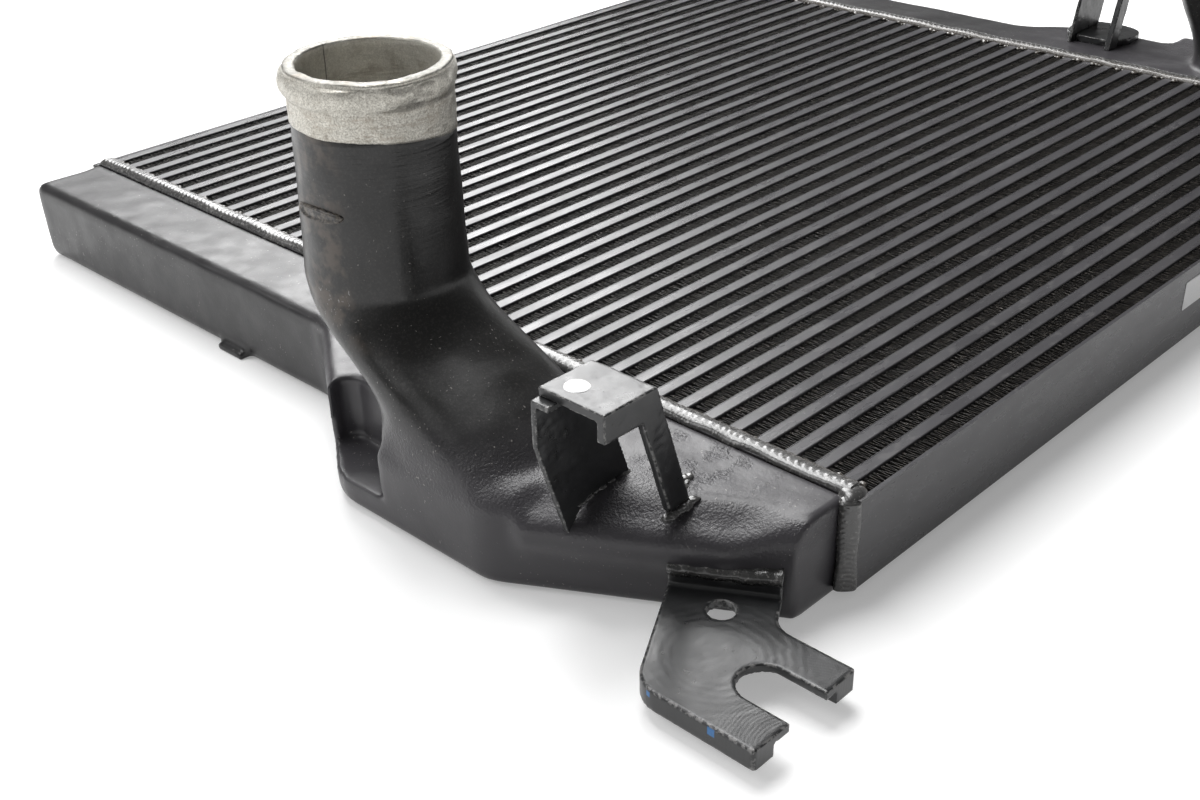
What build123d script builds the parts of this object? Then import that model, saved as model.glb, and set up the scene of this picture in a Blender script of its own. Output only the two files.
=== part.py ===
from build123d import *
import math
import os

# Bar-and-plate charge-air intercooler, lying on its back face.
# X runs along the charge passages from one end tank to the other, Y along the stack,
# Z from the tanks' back faces (z = 0) to the front face.  Millimetres.

# ---- core
core_length = 624.0          # between the two tank weld lines
core_depth = 46.0            # back face to front face, a little less than the tanks
passage_count = 38           # charge-air passages, each with an air gap on its low-Y side
passage_width = 7.2          # one passage across the stack, sheets included
fin_height = 8.8             # air gap between two passages
sheet_thickness = 0.6        # parting sheet of a passage
long_bar_depth = 8.0         # bar that closes a passage at the front and at the back
end_bar_length = 8.0         # bar that closes an air gap at each tank
side_plate_thickness = 2.0
fin_thickness = 0.4
fin_folds = 16               # folds along one air gap
fin_setback = 1.0            # fins stop short of the faces
fin_clearance = 0.2          # between the last fold and the end bar
turbulator_thickness = 0.4
turbulator_folds = 4         # folds across one charge passage
turbulator_setback = 10.0    # turbulators stop short of the tanks

# ---- end tank casting, sizes outwards from the weld line and along the stack from the core's low-Y end
tank_depth = 50.0            # back face to front face, level with the core's front face
wall = 5.0
rail_width = 47.0            # narrow stretch of the tank
belly_width = 104.0          # wide stretch that carries the duct
tank_inset = 6.4             # end wall, set back from the side plate
end_wall_width = 34.7        # end wall, out to the slanted wall
slant_end = 125.8            # slanted wall meets the belly's front
belly_end = 230.4            # belly's front meets the S-shaped return
return_end = 310.4           # return meets the rail
slant_radius = 28.0
belly_radius = 30.0
return_radius = 36.0
rail_corner_radius = 7.0
draft = 2.5                  # degrees, walls tuck in towards the back face
rail_edge_radius = 6.0
shoulder_radius = 13.0       # rounding along the slanted wall and the belly's front
back_edge_radius = 6.0
lug_place = 401.0            # small cast lug on the rail's back edge
lug_length = 24.0
lug_reach = 3.0
lug_height = 4.0

# ---- side pocket of the casting, under the duct
pocket_depth = 32.0          # inwards from the belly's front
pocket_start = 197.0
pocket_end = 254.0
pocket_floor = 15.0          # ledge left along the back face
pocket_radius = 9.0

# ---- duct and hose neck
neck_reach = 57.0            # neck axis, outwards from the weld line
near_neck_place = 234.4      # neck axis along the stack
far_neck_place = 148.8
neck_radius = 37.2           # seat for a three-inch hose
neck_foot_radius = 38.4      # barrel widens on its way down
bore_radius = 32.2
lip_radius = 37.8
bead_radius = 39.6
bead_height = 10.0
lip_height = 2.5             # above the bead
hose_seat = 30.0             # straight length under the bead
neck_top = 208.8
neck_base = 108.0            # straight barrel starts here
duct_foot = 45.0             # height where the duct has merged with the belly
duct_reach = 58.0            # centre of the duct's foot
near_duct_shift = -71.0      # how far the duct runs along the stack on its way down
far_duct_shift = -30.0
duct_half_width = 44.0
duct_half_length = 45.0
duct_squareness = 5.0        # superellipse power of the duct's foot, 2 being an ellipse
duct_corner_delay = 6        # the corners square up only near the foot
duct_wall = 7.0              # measured level, so the slanted roof stays about 5 thick
neck_step = 0.3              # the duct starts this much inside the barrel and inside the bore
duct_sections = 5
section_points = 16

# ---- formed hat bracket: thick angle plate on a thinner leg
hat_plate_thickness = 4.3
hat_leg_thickness = 2.8
hat_rise = 62.4              # above the front face
hat_width = 36.3             # along the stack
hat_length = 31.0            # across the tank
hat_lip_depth = 13.5
hat_foot_width = 13.0        # thick leg, at its foot
hat_shift = 25.5             # how far the legs lean towards the core
near_hat_reach = 97.0        # outer edge of the plate, outwards from the weld line
near_hat_place = 55.7        # low-Y face of the plate, along the stack
far_hat_reach = 74.0
far_hat_place = 224.0
tab_reach = 5.0              # leg's top flange stands out past the plate
tab_width = 10.0
straight_drop = 22.0         # leg's front edge runs straight down, then leans
foot_sink = 16.0             # legs are cut to the casting's surface

# ---- fork bracket on the slanted wall
fork_top = 16.7
fork_thickness = 4.0
fork_start = 5.2             # along the slanted wall from the end wall
fork_width = 49.2            # across the slanted wall
fork_reach_out = 120.6       # outer edge, outwards from the weld line
fork_inner_edge = 56.5       # inner prong's edge
fork_prong_end = 40.0        # prongs pass the side plate by this
fork_slot_width = 23.2
fork_slot_centre = 87.4
fork_slot_place = -19.0      # centre of the slot's round end, along the stack
fork_hole_radius = 6.25
fork_hole_reach = 62.6
fork_hole_place = 23.6
fork_corner_radius = 18.0
fork_waist_radius = 14.0
prong_corner_radius = 1.5
fork_rim_width = 12.5
fork_rim_base = 6.6
fork_flange_top = 25.0
fork_flange_thickness = 4.0
fork_weld_radius = 3.6

# ---- plain mounting pad on the far tank
pad_thickness = 5.0
pad_length = 46.0
pad_width = 52.0
pad_reach = 32.0
pad_place = 246.0
pad_corner_radius = 18.0

# ---- weld beads
bead_weld_width = 11.0
bead_weld_height = 3.1
corner_weld_radius = 6.4
corner_weld_proud = 0.4       # past the side plate
seam_weld_radius = 4.0        # at the +Y end, and along the back of the joint

# ---- derived places
pitch = passage_width + fin_height
stack_height = passage_count * pitch
core_height = stack_height + 2 * side_plate_thickness
low_y = -core_height / 2
high_y = core_height / 2
weld_x = -core_length / 2
pocket_inner = belly_width - pocket_depth
core_base = tank_depth - core_depth
core_middle = core_base + core_depth / 2
buried = 20.0                # outlines start this far inside the core and are cut back to it
edge_margin = 1.0            # an edge counts as ending at a corner when it stops this close to it


def out(reach):
    """X of a point this far outwards from the near weld line."""
    return weld_x - reach


def along(place):
    """Y of a point this far along the stack."""
    return low_y + place


def core_block():
    return Pos(0, 0, core_middle) * Box(core_length, core_height, core_depth)


def space_between_tanks():
    return Pos(0, 0, tank_depth / 2) * Box(core_length, core_height, tank_depth)


# ------------------------------------------------------------------ core
def passage_y(index):
    return low_y + side_plate_thickness + fin_height + passage_width / 2 + index * pitch


def gap_y(index):
    return passage_y(index) - (passage_width + fin_height) / 2


def charge_passage(index):
    """Flat tube: two parting sheets brazed to a long bar at each face, open into both tanks."""
    tube = Box(core_length, passage_width, core_depth)
    tube -= Box(core_length, passage_width - 2 * sheet_thickness, core_depth - 2 * long_bar_depth)
    return Pos(0, passage_y(index), core_middle) * tube


def corrugation(length, height, thickness, folds):
    """Zigzag strip along X whose crests reach both sheets."""
    step = length / folds
    swing = (height - thickness) / 2
    crests = [(i * step - length / 2, swing * (-1) ** i) for i in range(folds + 1)]
    upper = [(x, y + thickness / 2) for x, y in crests]
    lower = [(x, y - thickness / 2) for x, y in reversed(crests)]
    return make_face(Polyline(*upper, *lower, close=True))


def air_fins():
    length = core_length - 2 * end_bar_length - 2 * fin_clearance
    strip = extrude(corrugation(length, fin_height, fin_thickness, fin_folds), core_depth - 2 * fin_setback)
    base = core_base + fin_setback
    return [Pos(0, gap_y(index), base) * strip for index in range(passage_count)]


def turbulators():
    width = core_depth - 2 * long_bar_depth
    height = passage_width - 2 * sheet_thickness
    length = core_length - 2 * turbulator_setback
    face = corrugation(width, height, turbulator_thickness, turbulator_folds)
    strip = Rot(0, 90, 0) * Pos(0, 0, -length / 2) * extrude(face, length)
    return [Pos(0, passage_y(index), core_middle) * strip for index in range(passage_count)]


def end_bars():
    """Bars that close the air gaps at the near tank."""
    bar = Box(end_bar_length, fin_height, core_depth)
    x = weld_x + end_bar_length / 2
    return [Pos(x, gap_y(index), core_middle) * bar for index in range(passage_count)]


def side_plate(side):
    y = side * (high_y - side_plate_thickness / 2)
    return Pos(0, y, core_middle) * Box(core_length, side_plate_thickness, core_depth)


# ------------------------------------------------------------------ end tank
def tank_outline():
    """Plan of the tank at the front face, from the end wall round the belly to the rail's end."""
    start = (out(-buried), along(tank_inset))
    corner = (out(end_wall_width), along(tank_inset))
    wall_line = FilletPolyline(
        corner,
        (out(belly_width), along(slant_end)),
        (out(belly_width), along(belly_end)),
        (out(rail_width), along(return_end)),
        (out(rail_width), high_y),
        (out(-buried), high_y),
        radius=[slant_radius, belly_radius, return_radius, rail_corner_radius],
    )
    return make_face(Line(start, corner) + wall_line + Line(wall_line @ 1, start))


def pocket(growth):
    """Hollow in the belly's side, open at the top and outwards; growth leaves a wall round it."""
    length = pocket_end - pocket_start + 2 * growth
    width = belly_width - pocket_inner + buried + growth
    shape = extrude(RectangleRounded(width, length, pocket_radius + growth), tank_depth)
    middle = out(pocket_inner - growth) - width / 2
    return Pos(middle, along((pocket_start + pocket_end) / 2), pocket_floor - growth) * shape


def duct_section(share, neck_place, shift, inset):
    """One level cut of the duct: share 0 is the round neck, share 1 the squarish foot."""
    travel = share * share * (3 - 2 * share)
    x = out(neck_reach + (duct_reach - neck_reach) * travel)
    y = along(neck_place + shift * travel)
    half_x = neck_foot_radius + (duct_half_width - neck_foot_radius) * share - inset
    half_y = neck_foot_radius + (duct_half_length - neck_foot_radius) * share - inset
    power = 2 / (2 + (duct_squareness - 2) * share ** duct_corner_delay)
    points = []
    for step in range(section_points):
        angle = 2 * math.pi * (step + 0.5) / section_points
        cos, sin = math.cos(angle), math.sin(angle)
        px = x + half_x * math.copysign(abs(cos) ** power, cos)
        py = y + half_y * math.copysign(abs(sin) ** power, sin)
        points.append((px, py))
    level = neck_base + (duct_foot - neck_base) * share
    return Pos(0, 0, level) * make_face(Spline(*points, periodic=True))


def duct(neck_place, shift, neck_inset, foot_inset):
    shares = [step / (duct_sections - 1) for step in range(duct_sections)]
    insets = [neck_inset + (foot_inset - neck_inset) * share for share in shares]
    return loft([duct_section(s, neck_place, shift, i) for s, i in zip(shares, insets)])


def neck(neck_place):
    """Straight barrel with a rolled bead and a thin lip for the hose clamp."""
    bead_top = neck_top - lip_height
    bead_bottom = bead_top - bead_height
    seat_base = bead_bottom - hose_seat
    edge = Polyline(
        (neck_radius, bead_bottom),
        (neck_radius, seat_base),
        (neck_foot_radius, neck_base),
        (0, neck_base),
        (0, neck_top),
        (lip_radius, neck_top),
        (lip_radius, bead_top),
    )
    bead_middle = (bead_radius, (bead_top + bead_bottom) / 2)
    edge += ThreePointArc((lip_radius, bead_top), bead_middle, (neck_radius, bead_bottom))
    barrel = revolve(Plane.XZ * make_face(edge), Axis.Z)
    return Pos(out(neck_reach), along(neck_place), 0) * barrel


def bore(neck_place):
    depth = neck_top - neck_base
    return Pos(out(neck_reach), along(neck_place), neck_base + depth / 2) * Cylinder(bore_radius, depth)


def lug():
    """Small cast lug low on the rail."""
    width = rail_width / 2 + lug_reach
    block = Box(width, lug_length, lug_height)
    block = fillet(block.edges().filter_by(Axis.Z), lug_reach / 2)
    return Pos(out(rail_width + lug_reach - width / 2), along(lug_place), lug_height / 2) * block


def edges_between(face, start, end):
    """Outer edges of a level face whose middles lie between two places along the stack."""
    middles = [(edge, edge @ 0.5) for edge in face.edges()]
    return [edge for edge, middle in middles if along(start) < middle.Y < along(end) and middle.X < weld_x]


def tank_body(neck_place, shift):
    """The casting's outer form, solid."""
    plan = Pos(0, 0, tank_depth) * tank_outline()
    body = extrude(plan, tank_depth, dir=(0, 0, -1), taper=draft)
    back = body.faces().sort_by(Axis.Z)[0]
    body = fillet(edges_between(back, end_wall_width, core_height), back_edge_radius)
    body -= pocket(0)
    front = body.faces().sort_by(Axis.Z)[-1]
    body = fillet(edges_between(front, end_wall_width, pocket_start - edge_margin), shoulder_radius)
    front = body.faces().sort_by(Axis.Z)[-1]
    body = fillet(edges_between(front, pocket_end + edge_margin, core_height + edge_margin), rail_edge_radius)
    body += duct(neck_place, shift, neck_step, 0)
    body += neck(neck_place)
    body += lug()
    return body - space_between_tanks()


def cavity(neck_place, shift):
    """Charge-air space: plenum open to the passages, duct and bore."""
    plenum = Pos(0, 0, tank_depth - wall) * offset(tank_outline(), -wall)
    space = extrude(plenum, tank_depth - 2 * wall, dir=(0, 0, -1), taper=draft)
    space -= pocket(wall)
    space += duct(neck_place, shift, neck_radius - bore_radius + neck_step, duct_wall)
    return space + bore(neck_place)


# ------------------------------------------------------------------ welds
def core_weld():
    """Bead across the front face at the weld line, one down each end of the joint and one behind it."""
    half = bead_weld_width / 2
    arc = ThreePointArc((-half, 0), (0, bead_weld_height), (half, 0))
    section = make_face(arc + Line(arc @ 1, arc @ 0))
    top = Pos(weld_x + half, 0, tank_depth) * extrude(Plane.XZ * section, core_height / 2, both=True)
    low = Pos(weld_x, along(corner_weld_radius - corner_weld_proud), core_middle)
    low *= Cylinder(corner_weld_radius, core_depth)
    high = Pos(weld_x, high_y - seam_weld_radius / 2, core_middle)
    high *= Cylinder(seam_weld_radius, core_depth)
    back = Pos(weld_x, 0, core_base) * Rot(90, 0, 0)
    back *= Cylinder(seam_weld_radius, core_height - 4 * tank_inset)
    return top, low, high, back


# ------------------------------------------------------------------ hat bracket
def hat_plate(reach, place):
    """Thick plate: level top, turned-down lip along its low-Y side, and a leg leaning to the core."""
    top_z = tank_depth + hat_rise
    y = along(place)
    outer = out(reach)
    inner = outer + hat_length
    foot = inner + hat_shift
    top = Pos((outer + inner) / 2, y + hat_width / 2, top_z - hat_plate_thickness / 2)
    top *= Box(hat_length, hat_width, hat_plate_thickness)
    lean = hat_shift / (hat_rise + foot_sink)
    lip_z = top_z - hat_lip_depth
    base_z = tank_depth - foot_sink
    side = Polyline(
        (outer, top_z),
        (inner, top_z),
        (foot, base_z),
        (foot - hat_foot_width, base_z),
        (foot - hat_foot_width - lean * (lip_z - base_z), lip_z),
        (outer, lip_z),
        close=True,
    )
    leg = Pos(0, y, 0) * extrude(Plane.XZ * make_face(side), -hat_plate_thickness)
    return top + leg


def hat_leg(reach, place):
    """Thinner leg on the plate's high-Y side, with a short flange welded under the plate."""
    top_z = tank_depth + hat_rise - hat_plate_thickness
    y = along(place) + hat_width
    outer = out(reach + tab_reach)
    inner = out(reach) + hat_length
    base_z = tank_depth - foot_sink
    bend_z = top_z - straight_drop
    lean = hat_shift / (hat_rise + foot_sink)
    side = Polyline(
        (outer, top_z),
        (inner, top_z),
        (inner + lean * (top_z - base_z), base_z),
        (outer + lean * (bend_z - base_z), base_z),
        (outer, bend_z),
        close=True,
    )
    leg = Pos(0, y, 0) * extrude(Plane.XZ * make_face(side), hat_leg_thickness)
    flange = Box(inner - outer, tab_width, hat_leg_thickness)
    return leg + Pos((outer + inner) / 2, y - tab_width / 2, top_z - hat_leg_thickness / 2) * flange


# ------------------------------------------------------------------ fork bracket
slant = math.atan2(belly_width - end_wall_width, slant_end - tank_inset)   # wall against the Y axis


def wall_point(step, stand_off):
    """Point on the slanted wall's foot, step along it from the end wall, standing off outwards."""
    reach = end_wall_width + step * math.sin(slant) + stand_off * math.cos(slant)
    place = tank_inset + step * math.cos(slant) - stand_off * math.sin(slant)
    return out(reach), along(place)


def wall_inset(level):
    """How far the draft has taken a wall inside its plan, at this height."""
    return (tank_depth - level) * math.tan(math.radians(draft))


def fork_plan():
    """Plan of the plate: square to the slanted wall, then two prongs pointing to low Y."""
    left = wall_point(fork_start + fork_width, -buried)
    right = wall_point(fork_start, -buried)
    foot_reach = end_wall_width + (fork_start + fork_width) * math.sin(slant)
    turn = wall_point(fork_start + fork_width, (fork_reach_out - foot_reach) / math.cos(slant))
    foot_reach = end_wall_width + fork_start * math.sin(slant)
    waist = wall_point(fork_start, (fork_inner_edge - foot_reach) / math.cos(slant))
    prong_end = low_y - fork_prong_end
    edge = FilletPolyline(
        left,
        turn,
        (out(fork_reach_out), prong_end),
        (out(fork_inner_edge), prong_end),
        waist,
        right,
        radius=[fork_corner_radius, prong_corner_radius, prong_corner_radius, fork_waist_radius],
    )
    return make_face(edge + Line(edge @ 1, edge @ 0))


def fork_bracket():
    """Plate with turned-down rims on its outer edges, and a flange that lies on the slanted wall."""
    plan = fork_plan()
    base = fork_top - fork_thickness
    body = Pos(0, 0, base) * extrude(plan, fork_thickness)
    outer_rim = Pos(out(fork_reach_out - fork_rim_width) - buried, low_y) * Rectangle(2 * buried, core_height)
    inner_middle = out(fork_inner_edge + fork_rim_width) + buried
    inner_rim = Pos(inner_middle, low_y - fork_prong_end) * Rectangle(2 * buried, fork_prong_end)
    rims = plan & (outer_rim + inner_rim)
    body += Pos(0, 0, fork_rim_base) * extrude(rims, base - fork_rim_base)

    depth = fork_flange_thickness + buried
    face = fork_flange_thickness - wall_inset(fork_top)
    x, y = wall_point(fork_start + fork_width / 2, face - depth / 2)
    seat = Pos(x, y, (fork_flange_top + base) / 2) * Rot(0, 0, math.degrees(slant))
    body += seat * Box(depth, fork_width, fork_flange_top - base)

    slot_end = Pos(out(fork_slot_centre), along(fork_slot_place), 0)
    body -= slot_end * Cylinder(fork_slot_width / 2, tank_depth)
    body -= slot_end * Pos(0, -buried, 0) * Box(fork_slot_width, 2 * buried, tank_depth)
    hole = Pos(out(fork_hole_reach), along(fork_hole_place), 0)
    return body - hole * Cylinder(fork_hole_radius, tank_depth)


def fork_weld():
    """Fillet bead along the top of the fork bracket's flange."""
    x, y = wall_point(fork_start + fork_width / 2, -wall_inset(fork_flange_top))
    seat = Pos(x, y, fork_flange_top) * Rot(0, 0, math.degrees(slant)) * Rot(90, 0, 0)
    return seat * Cylinder(fork_weld_radius, fork_width)


def mounting_pad():
    plate = RectangleRounded(pad_length, pad_width, pad_corner_radius)
    x = out(pad_reach + pad_length / 2)
    return Pos(x, along(pad_place), tank_depth) * extrude(plate, pad_thickness)


# ------------------------------------------------------------------ assembly
def to_far_end(shape):
    return mirror(shape, about=Plane.YZ)


def save(name, *solids):
    shape = solids[0] if len(solids) == 1 else Compound(children=list(solids))
    export_step(shape, os.path.join("parts", name + ".step"))


def main():
    os.makedirs("parts", exist_ok=True)

    near_body = tank_body(near_neck_place, near_duct_shift)
    far_body = tank_body(far_neck_place, far_duct_shift)
    near_tank = near_body - cavity(near_neck_place, near_duct_shift)
    far_tank = far_body - cavity(far_neck_place, far_duct_shift)
    save("near_tank", near_tank)
    save("far_tank", to_far_end(far_tank))

    core = core_block()
    near_weld = [bead - core - near_body for bead in core_weld()]
    far_weld = [to_far_end(bead - core - far_body) for bead in core_weld()]
    save("near_core_weld", *near_weld)
    save("far_core_weld", *far_weld)

    for index in range(passage_count):
        save(f"charge_passage_{index + 1:02d}", charge_passage(index))
    save("air_fins", *air_fins())
    save("turbulators", *turbulators())
    save("near_end_bars", *end_bars())
    save("far_end_bars", *[to_far_end(bar) for bar in end_bars()])
    save("right_side_plate", side_plate(-1))
    save("left_side_plate", side_plate(1))

    save("near_hat_plate", hat_plate(near_hat_reach, near_hat_place) - near_body)
    save("near_hat_leg", hat_leg(near_hat_reach, near_hat_place) - near_body)
    pad = mounting_pad()
    far_base = far_body + pad
    save("far_hat_plate", to_far_end(hat_plate(far_hat_reach, far_hat_place) - far_base))
    save("far_hat_leg", to_far_end(hat_leg(far_hat_reach, far_hat_place) - far_base))
    save("far_pad", to_far_end(pad - far_body))

    fork = fork_bracket() - near_body
    save("fork_bracket", fork)
    save("fork_weld", fork_weld() - near_body - fork)


main()
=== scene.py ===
import math

import bmesh
import bpy
import numpy as np
from mathutils import Matrix, Quaternion, Vector


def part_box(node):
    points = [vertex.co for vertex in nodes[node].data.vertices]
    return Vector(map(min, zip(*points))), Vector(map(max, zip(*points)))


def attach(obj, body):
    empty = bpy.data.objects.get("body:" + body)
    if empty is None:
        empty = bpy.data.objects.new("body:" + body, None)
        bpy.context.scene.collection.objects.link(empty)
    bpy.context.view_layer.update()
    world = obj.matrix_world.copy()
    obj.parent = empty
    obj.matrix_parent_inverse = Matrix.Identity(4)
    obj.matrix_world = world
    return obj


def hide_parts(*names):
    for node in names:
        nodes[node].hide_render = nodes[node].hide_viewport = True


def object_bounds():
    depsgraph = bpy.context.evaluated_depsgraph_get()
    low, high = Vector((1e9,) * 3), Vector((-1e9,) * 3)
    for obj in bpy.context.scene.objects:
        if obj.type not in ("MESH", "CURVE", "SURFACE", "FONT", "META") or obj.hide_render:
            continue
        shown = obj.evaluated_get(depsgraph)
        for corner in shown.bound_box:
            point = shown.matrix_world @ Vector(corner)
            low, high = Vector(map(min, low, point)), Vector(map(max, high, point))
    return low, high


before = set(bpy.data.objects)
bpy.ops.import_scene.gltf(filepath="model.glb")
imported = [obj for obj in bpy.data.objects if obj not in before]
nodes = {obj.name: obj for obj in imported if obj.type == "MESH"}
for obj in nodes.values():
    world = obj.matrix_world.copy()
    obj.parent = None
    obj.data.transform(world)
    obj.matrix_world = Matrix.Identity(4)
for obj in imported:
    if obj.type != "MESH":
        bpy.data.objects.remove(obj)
cad_box = [list(corner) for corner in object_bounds()]
scene = bpy.context.scene

WELD_X = 0.312               # joint of the core and each tank
HALF_Y = 0.306
CORE_BACK = 0.004            # the core's back face, a little in front of the tanks' backs
FRONT = 0.050                # the core's front face
PITCH = 0.016
ROWS = 38
PASSAGE_WIDTH = 0.0072
FIN_HEIGHT = 0.0088
SIDE_PLATE = 0.002
NECK_TOP = 0.2088
NECK_RADIUS = 0.0372
BORE_RADIUS = 0.0322
NECKS = {"near": (-0.369, -0.0716), "far": (0.369, -0.1572)}
DUCT_FEET = {"near": (-0.370, -0.1426), "far": (0.370, -0.1872)}
WALL_START = (0.0064, 0.0347)    # slanted wall: its place from the low-Y end, its reach beyond the weld
WALL_END = (0.1258, 0.1040)
SLANT = math.atan2(WALL_END[1] - WALL_START[1], WALL_END[0] - WALL_START[0])
SHOULDER_FALL = 0.0050
SHOULDER_BULGE = 0.0042
FIN_SHEET = 0.00022
FIN_TIPS = 0.0488
LEG_SPACING = 0.0016
FIN_CREST = 0.0008
FORK_HOLE = (-0.3746, -0.2824)
FORK_RING_CENTRE = (-0.4200, -0.3560)
FORK_ARC_CENTRE = (-0.4000, -0.3000)
BLUE_DABS = ((-0.4325, -0.2929, 0.0010), (-0.4324, -0.3252, 0.0016))
HAT_SPECKS = ((-0.3979, -0.2337), (-0.4006, -0.2368))
CAMERA_PLACE = (-0.7749, -0.6042, 0.4087)
CAMERA_TURN = (44.21, 29.58, -1.358)    # azimuth, degrees down, roll
CAMERA_LENS = 45.98
STAGE_RADIUS = 19.0
UP = (0, 0, 1)


# ------------------------------------------------------------------ mesh tools
def waves(points, size, seed, count=24):
    """Smooth seeded noise, about -1 to 1, with lumps about this size."""
    rng = np.random.default_rng(seed)
    direction = rng.normal(size=(count, 3))
    direction /= np.linalg.norm(direction, axis=1)[:, None]
    stretch = rng.uniform(0.7, 1.4, count)[:, None]
    angle = points @ (direction * stretch * 2 * math.pi / size).T + rng.uniform(0, 2 * math.pi, count)
    return np.sin(angle).sum(1) / math.sqrt(2 * count)


def smoothstep(value, low, high):
    """0 at low, 1 at high, with soft ends; low may be the larger one."""
    share = np.clip((value - low) / (high - low), 0, 1)
    return share * share * (3 - 2 * share)


def make_piece(name, mesh, material, replaced=()):
    """Puts a mesh in the scene as a piece of the root body."""
    piece = bpy.data.objects.new(name, mesh)
    scene.collection.objects.link(piece)
    mesh.materials.clear()
    mesh.materials.append(material)
    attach(piece, "root")
    if replaced:
        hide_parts(*replaced)
    return piece


def mesh_from(name, points, faces, smooth=True):
    mesh = bpy.data.meshes.new(name)
    mesh.from_pydata([tuple(p) for p in points], [], [tuple(f) for f in faces])
    mesh.validate()
    mesh.polygons.foreach_set("use_smooth", [smooth] * len(mesh.polygons))
    mesh.update()
    return mesh


def coords(mesh):
    flat = np.empty(len(mesh.vertices) * 3)
    mesh.vertices.foreach_get("co", flat)
    return flat.reshape(-1, 3)


def set_coords(mesh, points):
    mesh.vertices.foreach_set("co", points.ravel())
    mesh.update()


def normals(mesh):
    flat = np.empty(len(mesh.vertices) * 3)
    mesh.vertices.foreach_get("normal", flat)
    return flat.reshape(-1, 3)


def remeshed(name, sources, voxel):
    """A fine even mesh of these CAD nodes, as one closed skin for each solid."""
    work = bmesh.new()
    for source in sources:
        work.from_mesh(nodes[source].data)
    bmesh.ops.remove_doubles(work, verts=work.verts, dist=1e-6)
    coarse = bpy.data.meshes.new(name + "_coarse")
    work.to_mesh(coarse)
    work.free()
    holder = bpy.data.objects.new(name + "_coarse", coarse)
    scene.collection.objects.link(holder)
    voxels = holder.modifiers.new("voxels", "REMESH")
    voxels.mode = "VOXEL"
    voxels.voxel_size = voxel
    graph = bpy.context.evaluated_depsgraph_get()
    fine = bpy.data.meshes.new_from_object(holder.evaluated_get(graph))
    bpy.data.objects.remove(holder)
    fine.name = name
    fine.polygons.foreach_set("use_smooth", [True] * len(fine.polygons))
    return fine


def relax(mesh, points, weight, rounds, regain=0.53):
    """Smooths points along the mesh's edges; regain gives back the volume that smoothing takes."""
    ends = np.empty(len(mesh.edges) * 2, np.int64)
    mesh.edges.foreach_get("vertices", ends)
    first, second = ends.reshape(-1, 2).T
    total = len(points)
    degree = np.bincount(first, minlength=total) + np.bincount(second, minlength=total)
    degree = np.maximum(degree, 1)[:, None]
    weight = np.broadcast_to(weight, (total,))[:, None]
    for _ in range(rounds):
        for step in (0.5, -regain) if regain else (0.5,):
            around = np.empty_like(points)
            for axis in range(3):
                value = points[:, axis]
                around[:, axis] = (np.bincount(first, value[second], total)
                                   + np.bincount(second, value[first], total))
            points = points + step * weight * (around / degree - points)
    return points


def tube_rings(rings, closed_ends=True):
    """Faces of a tube through equal rings of point numbers."""
    count = len(rings[0])
    faces = []
    for one, two in zip(rings, rings[1:]):
        for i in range(count):
            j = (i + 1) % count
            faces.append((one[i], one[j], two[j], two[i]))
    if closed_ends:
        faces.append(tuple(reversed(rings[0])))
        faces.append(tuple(rings[-1]))
    return faces


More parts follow.
